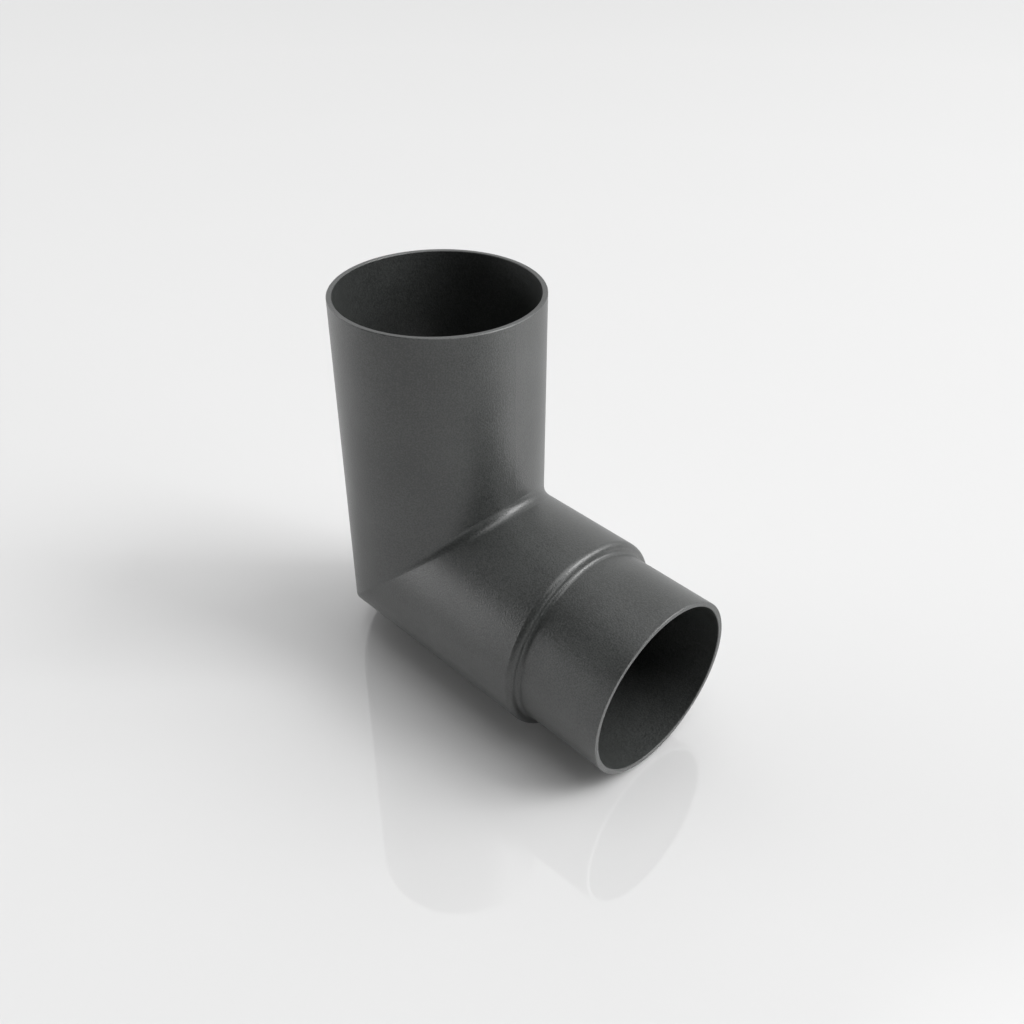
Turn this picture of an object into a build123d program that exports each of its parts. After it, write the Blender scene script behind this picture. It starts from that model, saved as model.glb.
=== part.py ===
from build123d import *
import os
from math import atan, cos, radians, sin, tan

# Sizes are in millimetres and angles in degrees. The origin is the middle of the inlet's mouth, with +Z
# straight up out of it. The outlet leg runs towards +X and falls slightly, so that water keeps moving.

# Tube and turn
tube_diameter = 102.0
turn_angle = 87.5        # from the inlet's axis to the outlet's
inlet_reach = 146.3      # inlet rim to the point where the two axes cross
outlet_reach = 146.3     # that point to the outlet rim, along the leg
elbow_wall = 3.0         # wall round the mitre, a little thicker than at the mouths
rim_bevel = 0.3          # broken edges of both rims
join_tolerance = 0.001   # the pieces of the elbow share their edges to within this

# Rounding along the mitre's seam
crotch_round = 5.0       # hollow blend in the inner corner
heel_round = 4.5         # rounded outer corner, which is left sharp inside

# Inlet mouth, a parallel socket for the spigot of the piece above
socket_wall = 2.5
socket_spare = 2.5       # a socket is this much deeper than a spigot is long
socket_taper = 20.0      # length over which the bore draws in to the elbow's

# Outlet, swaged down through an S-shaped step to a spigot
spigot_play = 2.2        # gap all round between a spigot and the socket that takes it
spigot_wall = 2.7
spigot_length = 48.0     # rim to the foot corner of the step
step_slope = 77.0        # flank of the step, from the axis
shoulder_round = 3.4     # where the wide tube rolls over into the flank
foot_round = 2.4         # where the flank runs out on the spigot
least_flank = 0.1        # height of plain flank that the two roundings always leave
inner_slope = 45.0       # the same flank inside, gentler so that the wall stays even

# Worked out from the sizes above
tube_radius = tube_diameter / 2
elbow_bore = tube_radius - elbow_wall
socket_bore = tube_radius - socket_wall
socket_depth = spigot_length + socket_spare
spigot_radius = socket_bore - spigot_play
spigot_bore = spigot_radius - spigot_wall
half_turn = radians(turn_angle / 2)
step_height = tube_radius - spigot_radius
step_foot = outlet_reach - spigot_length
step_shoulder = step_foot - step_height / tan(radians(step_slope))
# both roundings shrink alike where the step is too low for them
rounding_height = (shoulder_round + foot_round) * (1 - cos(radians(step_slope)))
rounding_share = min(1, (step_height - least_flank) / rounding_height)
shoulder_fillet = shoulder_round * rounding_share
foot_fillet = foot_round * rounding_share
crossing = Vector(0, 0, -inlet_reach)
past_mitre = tube_diameter  # blanks run on this far beyond the crossing before they are mitred

# Both legs are drawn along +Z of their own plane, starting at the crossing
inlet_plane = Plane(origin=crossing)
outlet_direction = Vector(sin(2 * half_turn), 0, -cos(2 * half_turn))
outlet_plane = Plane(origin=crossing, x_dir=(0, 1, 0), z_dir=outlet_direction)
# The mitre plane has +X towards the inner corner, +Y across the bend and +Z on the inlet's side
mitre_plane = Plane(
    origin=crossing,
    x_dir=(cos(half_turn), 0, sin(half_turn)),
    z_dir=(-sin(half_turn), 0, cos(half_turn)),
)


# Solid turned about a leg's axis, under an outline that starts past the mitre and ends at the rim
def turned(plane, outline):
    start = outline @ 0
    rim = outline @ 1
    closing = Polyline(rim, (0, rim.Y), (0, start.Y), start)
    profile = make_face(outline.edges() + closing.edges())
    return plane * Rot(90, 0, 0) * revolve(profile, Axis.Y)


# Both legs cut along the mitre
def mitred(inlet_leg, outlet_leg):
    upper = split(inlet_leg, bisect_by=mitre_plane, keep=Keep.TOP)
    lower = split(outlet_leg, bisect_by=mitre_plane, keep=Keep.BOTTOM)
    return upper, lower


# Plain mitred elbow of one radius, long enough for the seam's rounding
def plain_elbow(radius):
    blank = Cylinder(radius, 2 * past_mitre)
    upper, lower = mitred(inlet_plane * blank, outlet_plane * blank)
    return upper + lower


# Ring that a ball sweeps when its middle follows the seam of a plain elbow
def ball_ring(seam_radius, ball_radius):
    seam = Edge.make_ellipse(seam_radius / cos(half_turn), seam_radius, plane=mitre_plane)
    section = Plane(origin=seam @ 0, z_dir=seam % 0) * Circle(ball_radius)
    return sweep(section, path=seam)


# Wedge between the planes in which that ball touches the legs. side is 1 at the crotch, -1 at the heel
def seam_wedge(radius, seam_radius, side):
    opening = abs(atan(tan(half_turn) * seam_radius / radius) - half_turn)
    far = side * 2 * past_mitre
    spread = abs(far) * tan(opening)
    side_view = Plane(origin=crossing, x_dir=mitre_plane.x_dir, z_dir=(0, 1, 0))
    section = make_face(Polyline((0, 0), (far, spread), (far, -spread), close=True))
    return extrude(side_view * section, amount=past_mitre, both=True)


# Wedge to clear out of a bent rod's inner corner, and the filling for it, which the ball hollows out
def rounded_crotch(radius, ball_radius):
    seam_radius = radius + ball_radius
    wedge = seam_wedge(radius, seam_radius, 1)
    core = plain_elbow(radius + ball_radius / 2) & wedge
    return wedge, core - ball_ring(seam_radius, ball_radius)


# The same for the rod's outer corner, where the ball rolls along the inside and rounds the filling
def rounded_heel(radius, ball_radius):
    seam_radius = radius - ball_radius
    wedge = seam_wedge(radius, seam_radius, -1)
    core = plain_elbow(seam_radius) + ball_ring(seam_radius, ball_radius)
    return wedge, core & wedge


# Bent rod made of two legs, with the sharp seam replaced at each rounded corner
def bent_rod(inlet_leg, outlet_leg, corners):
    upper, lower = mitred(inlet_leg, outlet_leg)
    fillings = []
    for wedge, filling in corners:
        upper = upper - wedge
        lower = lower - wedge
        fillings.append(filling)
    return upper.fuse(lower, *fillings, tol=join_tolerance)


# Outside of the bend, down to the outer skin of the spigot
def outer_form():
    inlet_line = Line((tube_radius, -past_mitre), (tube_radius, inlet_reach))
    outlet_line = FilletPolyline(
        (tube_radius, -past_mitre),
        (tube_radius, step_shoulder),
        (spigot_radius, step_foot),
        (spigot_radius, outlet_reach),
        radius=(shoulder_fillet, foot_fillet),
    )
    corners = [rounded_crotch(tube_radius, crotch_round), rounded_heel(tube_radius, heel_round)]
    return bent_rod(turned(inlet_plane, inlet_line), turned(outlet_plane, outlet_line), corners)


# Waterway through it, from the socket to the spigot's bore
def waterway():
    socket_end = inlet_reach - socket_depth
    inlet_line = Polyline(
        (elbow_bore, -past_mitre),
        (elbow_bore, socket_end - socket_taper),
        (socket_bore, socket_end),
        (socket_bore, inlet_reach),
    )
    # inside the step the foot's rounding shares its middle with the one outside
    inner_round = foot_fillet + spigot_wall
    foot_end = step_foot + foot_fillet * tan(radians(step_slope / 2))
    inner_foot = foot_end - inner_round * tan(radians(inner_slope / 2))
    inner_shoulder = inner_foot - (elbow_bore - spigot_bore) / tan(radians(inner_slope))
    leg_line = Line((elbow_bore, -past_mitre), (elbow_bore, inner_shoulder))
    step_line = FilletPolyline(
        leg_line @ 1,
        (spigot_bore, inner_foot),
        (spigot_bore, outlet_reach),
        radius=inner_round,
    )
    corners = [rounded_crotch(elbow_bore, crotch_round + elbow_wall)]
    return bent_rod(turned(inlet_plane, inlet_line), turned(outlet_plane, leg_line + step_line), corners)


def downpipe_bend():
    bend = outer_form() - waterway()
    inlet_rim = bend.edges().group_by(Axis.Z)[-1]
    outlet_rim = bend.edges().group_by(Axis(crossing, outlet_direction))[-1]
    return chamfer(inlet_rim + outlet_rim, rim_bevel)


os.makedirs("parts", exist_ok=True)
export_step(downpipe_bend(), "parts/downpipe_bend.step")
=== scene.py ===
import math

import bpy
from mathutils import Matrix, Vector


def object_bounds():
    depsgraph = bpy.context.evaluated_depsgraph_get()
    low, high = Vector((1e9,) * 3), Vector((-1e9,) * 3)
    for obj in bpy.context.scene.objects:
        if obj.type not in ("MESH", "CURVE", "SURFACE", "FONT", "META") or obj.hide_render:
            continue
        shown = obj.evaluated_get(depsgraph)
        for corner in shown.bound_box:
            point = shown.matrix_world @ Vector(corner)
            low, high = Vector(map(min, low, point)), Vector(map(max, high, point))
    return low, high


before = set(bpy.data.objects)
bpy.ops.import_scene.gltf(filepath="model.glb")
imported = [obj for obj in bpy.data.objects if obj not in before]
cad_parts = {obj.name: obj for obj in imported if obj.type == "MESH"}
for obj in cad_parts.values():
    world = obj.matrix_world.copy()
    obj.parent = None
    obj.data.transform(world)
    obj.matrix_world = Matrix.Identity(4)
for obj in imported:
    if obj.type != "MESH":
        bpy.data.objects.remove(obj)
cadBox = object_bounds()
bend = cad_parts["downpipe_bend"]
print("frame loaded:", bend.name)


# an sRGB hex value as the linear colour that shaders take
def linearColour(hexCode):
    channels = [int(hexCode[i:i + 2], 16) / 255 for i in (1, 3, 5)]
    linear = [c / 12.92 if c <= 0.04045 else ((c + 0.055) / 1.055) ** 2.4 for c in channels]
    return (*linear, 1.0)


# adds one shader node; settings are its properties or sockets, links feed its sockets
def addNode(tree, kind, settings=None, links=None):
    node = tree.nodes.new(kind)
    for name, value in (settings or {}).items():
        if isinstance(name, str) and hasattr(node, name):
            setattr(node, name, value)
        else:
            node.inputs[name].default_value = value
    for name, source in (links or {}).items():
        tree.links.new(source, node.inputs[name])
    return node


def newMaterial(name):
    material = bpy.data.materials.new(name)
    material.use_nodes = True
    material.node_tree.nodes.clear()
    return material, material.node_tree


# unit vector at an azimuth, counted from +X towards +Y, and a height, both in degrees
def direction(azimuth, height):
    turn, rise = math.radians(azimuth), math.radians(height)
    return Vector((math.cos(rise) * math.cos(turn), math.cos(rise) * math.sin(turn), math.sin(rise)))


# Powder-coated aluminium, sprayed as dry powder and baked. The melted grains leave a fine sandy
# texture, so gloss breaks up into a soft sheen with a speckled edge. Lengths are in metres
coat = {
    "colour": "#2F3130",
    "paleColour": "#454746",
    "roughness": (0.31, 0.39),
    "ior": 1.73,            # bakes to a hard film with a stronger sheen than plain plastic
    "noises": {
        # width of a spot in metres, detail
        "grain": (0.00075, 2.0),    # melted powder grains, really about 0.3 mm, drawn coarser to show
        "flow": (0.006, 1.0),       # slow waves left where the coat flowed
        "cloud": (0.03, 3.0),       # patches of slightly paler coat
    },
    "grainDepth": 0.0001,
    "flowDepth": 0.00003,
    "cloudShare": 0.4,      # strength of the patches beside the grain's speckle
    "paleRange": (0.56, 0.84),      # speckle at which the coat starts to pale and is palest
    "glossRange": (0.3, 0.7),       # grain at which the coat is glossiest and dullest
}


def powderCoat():
    material, tree = newMaterial("powder-coated aluminium, fine texture")
    place = addNode(tree, "ShaderNodeTexCoord").outputs["Object"]
    noise = {}
    for name, (width, detail) in coat["noises"].items():
        noise[name] = addNode(tree, "ShaderNodeTexNoise", {
            "Scale": 1 / width, "Detail": detail}, {"Vector": place}).outputs["Fac"]
    speckle = addNode(tree, "ShaderNodeMath", {"operation": "MULTIPLY_ADD", 1: coat["cloudShare"]}, {
        0: noise["cloud"], 2: noise["grain"]})
    tint = addNode(tree, "ShaderNodeMapRange", {
        "From Min": coat["paleRange"][0], "From Max": coat["paleRange"][1]}, {
        "Value": speckle.outputs[0]})
    # sockets 6 and 7 of a colour mix are its two colours
    colour = addNode(tree, "ShaderNodeMix", {
        "data_type": "RGBA", 6: linearColour(coat["colour"]), 7: linearColour(coat["paleColour"])}, {
        "Factor": tint.outputs[0]})
    gloss = addNode(tree, "ShaderNodeMapRange", {
        "From Min": coat["glossRange"][0], "From Max": coat["glossRange"][1],
        "To Min": coat["roughness"][0], "To Max": coat["roughness"][1]}, {
        "Value": noise["grain"]})
    waves = addNode(tree, "ShaderNodeBump", {"Distance": coat["flowDepth"]}, {"Height": noise["flow"]})
    sand = addNode(tree, "ShaderNodeBump", {"Distance": coat["grainDepth"]}, {
        "Height": noise["grain"], "Normal": waves.outputs[0]})
    surface = addNode(tree, "ShaderNodeBsdfPrincipled", {"IOR": coat["ior"]}, {
        "Base Color": colour.outputs[2], "Roughness": gloss.outputs[0], "Normal": sand.outputs[0]})
    addNode(tree, "ShaderNodeOutputMaterial", {}, {"Surface": surface.outputs[0]})
    return material


bend.data.materials.clear()
bend.data.materials.append(powderCoat())
print("coat on", bend.name)


# Pale polished floor, which mirrors the bend faintly
floor = {
    "colour": "#E2E2E2",
    "roughness": 0.01,
    "ior": 1.8,             # glossy enough for the mirror image to show
    "size": 12.0,           # side in metres
}


def makeFloor():
    level = cadBox[0].z
    half = floor["size"] / 2
    corners = [(-half, -half, level), (half, -half, level), (half, half, level), (-half, half, level)]
    mesh = bpy.data.meshes.new("floor")
    mesh.from_pydata(corners, [], [(0, 1, 2, 3)])
    material, tree = newMaterial("polished pale floor")
    surface = addNode(tree, "ShaderNodeBsdfPrincipled", {
        "Base Color": linearColour(floor["colour"]), "Roughness": floor["roughness"], "IOR": floor["ior"]})
    addNode(tree, "ShaderNodeOutputMaterial", {}, {"Surface": surface.outputs[0]})
    mesh.materials.append(material)
    plane = bpy.data.objects.new("floor", mesh)
    bpy.context.collection.objects.link(plane)


makeFloor()
print("floor laid")


# Softboxes stand round the object and face its middle. Lengths are in metres, angles in degrees and
# power in watts
studio = {
    "distance": 8.0,
    "softboxes": {
        # azimuth, height, width, length, power
        "key lower": (32, 25, 2.8, 2.8, 100.0),
        "key upper": (32, 44, 2.8, 2.8, 233.0),
        "wing lower": (52, 25, 2.8, 2.8, 110.0),
        "wing upper": (52, 44, 2.8, 2.8, 42.0),
        "side": (74, 22, 3.2, 4.2, 41.0),
        "front lower": (12, 9, 2.8, 2.8, 58.0),
        "front upper": (10, 34, 2.8, 4.2, 26.0),
        "top": (20, 64, 3.2, 3.2, 87.0),
        "near top": (315, 70, 3.2, 3.2, 41.0),
        "ceiling": (0, 88, 5.3, 5.3, 119.0),
        "strip lower": (206, 3, 5.6, 1.3, 112.0),
        "strip upper": (206, 12, 5.6, 1.3, 111.0),
        "strip side": (235, 8, 2.8, 2.6, 31.0),
    },
    "backdrop": 0.85,       # strength that the camera alone sees
    "glows": {
        # azimuth, height, cosines off its middle where it begins and is full, strength
        "pale wall": (135, 3, -0.3, 0.9, 1.01),
        "wall's left end": (190, 15, 0.5, 1.0, 0.086),
        "hanging lamp": (82, 57, 0.972, 0.998, 0.9),
    },
}


def lightStudio():
    middle = (cadBox[0] + cadBox[1]) / 2
    for name, (azimuth, height, width, length, power) in studio["softboxes"].items():
        light = bpy.data.lights.new(name, "AREA")
        light.shape = "RECTANGLE"
        light.size = width
        light.size_y = length
        light.energy = power
        softbox = bpy.data.objects.new(name, light)
        bpy.context.collection.objects.link(softbox)
        towards = direction(azimuth, height)
        softbox.location = middle + studio["distance"] * towards
        softbox.rotation_euler = (-towards).to_track_quat("-Z", "Y").to_euler()


# The world glows behind the object and is dark on the camera's side, as in a studio with one pale wall
def makeBackdrop():
    world = bpy.data.worlds.new("studio")
    bpy.context.scene.world = world
    world.use_nodes = True
    tree = world.node_tree
    tree.nodes.clear()
    looking = addNode(tree, "ShaderNodeTexCoord").outputs["Generated"]
    light = None
    for azimuth, height, begins, full, power in studio["glows"].values():
        facing = addNode(tree, "ShaderNodeVectorMath", {
            "operation": "DOT_PRODUCT", 1: direction(azimuth, height)}, {0: looking})
        glow = addNode(tree, "ShaderNodeMapRange", {
            "interpolation_type": "SMOOTHSTEP", "From Min": begins, "From Max": full, "To Max": power}, {
            "Value": facing.outputs["Value"]}).outputs[0]
        if light is None:
            light = glow
        else:
            light = addNode(tree, "ShaderNodeMath", {"operation": "ADD"}, {0: light, 1: glow}).outputs[0]
    seen = addNode(tree, "ShaderNodeLightPath").outputs["Is Camera Ray"]
    strength = addNode(tree, "ShaderNodeMix", {"B": studio["backdrop"]}, {"Factor": seen, "A": light})
    sky = addNode(tree, "ShaderNodeBackground", {}, {"Strength": strength.outputs[0]})
    addNode(tree, "ShaderNodeOutputWorld", {}, {"Surface": sky.outputs[0]})


lightStudio()
makeBackdrop()
print("studio lit")


# Place in metres, turns in degrees and lens in millimetres
camera = {
    "place": (0.3487, -0.3017, 0.1984),
    "pitch": 54.90,
    "roll": -0.04,
    "heading": 44.88,
    "lens": 37.45,
}


def placeCamera():
    lens = bpy.data.cameras.new("camera")
    lens.lens = camera["lens"]
    viewer = bpy.data.objects.new("camera", lens)
    bpy.context.collection.objects.link(viewer)
    viewer.location = camera["place"]
    viewer.rotation_euler = [math.radians(camera[turn]) for turn in ("pitch", "roll", "heading")]
    bpy.context.scene.camera = viewer


placeCamera()
bpy.context.scene.view_settings.view_transform = "Standard"
print("camera placed")
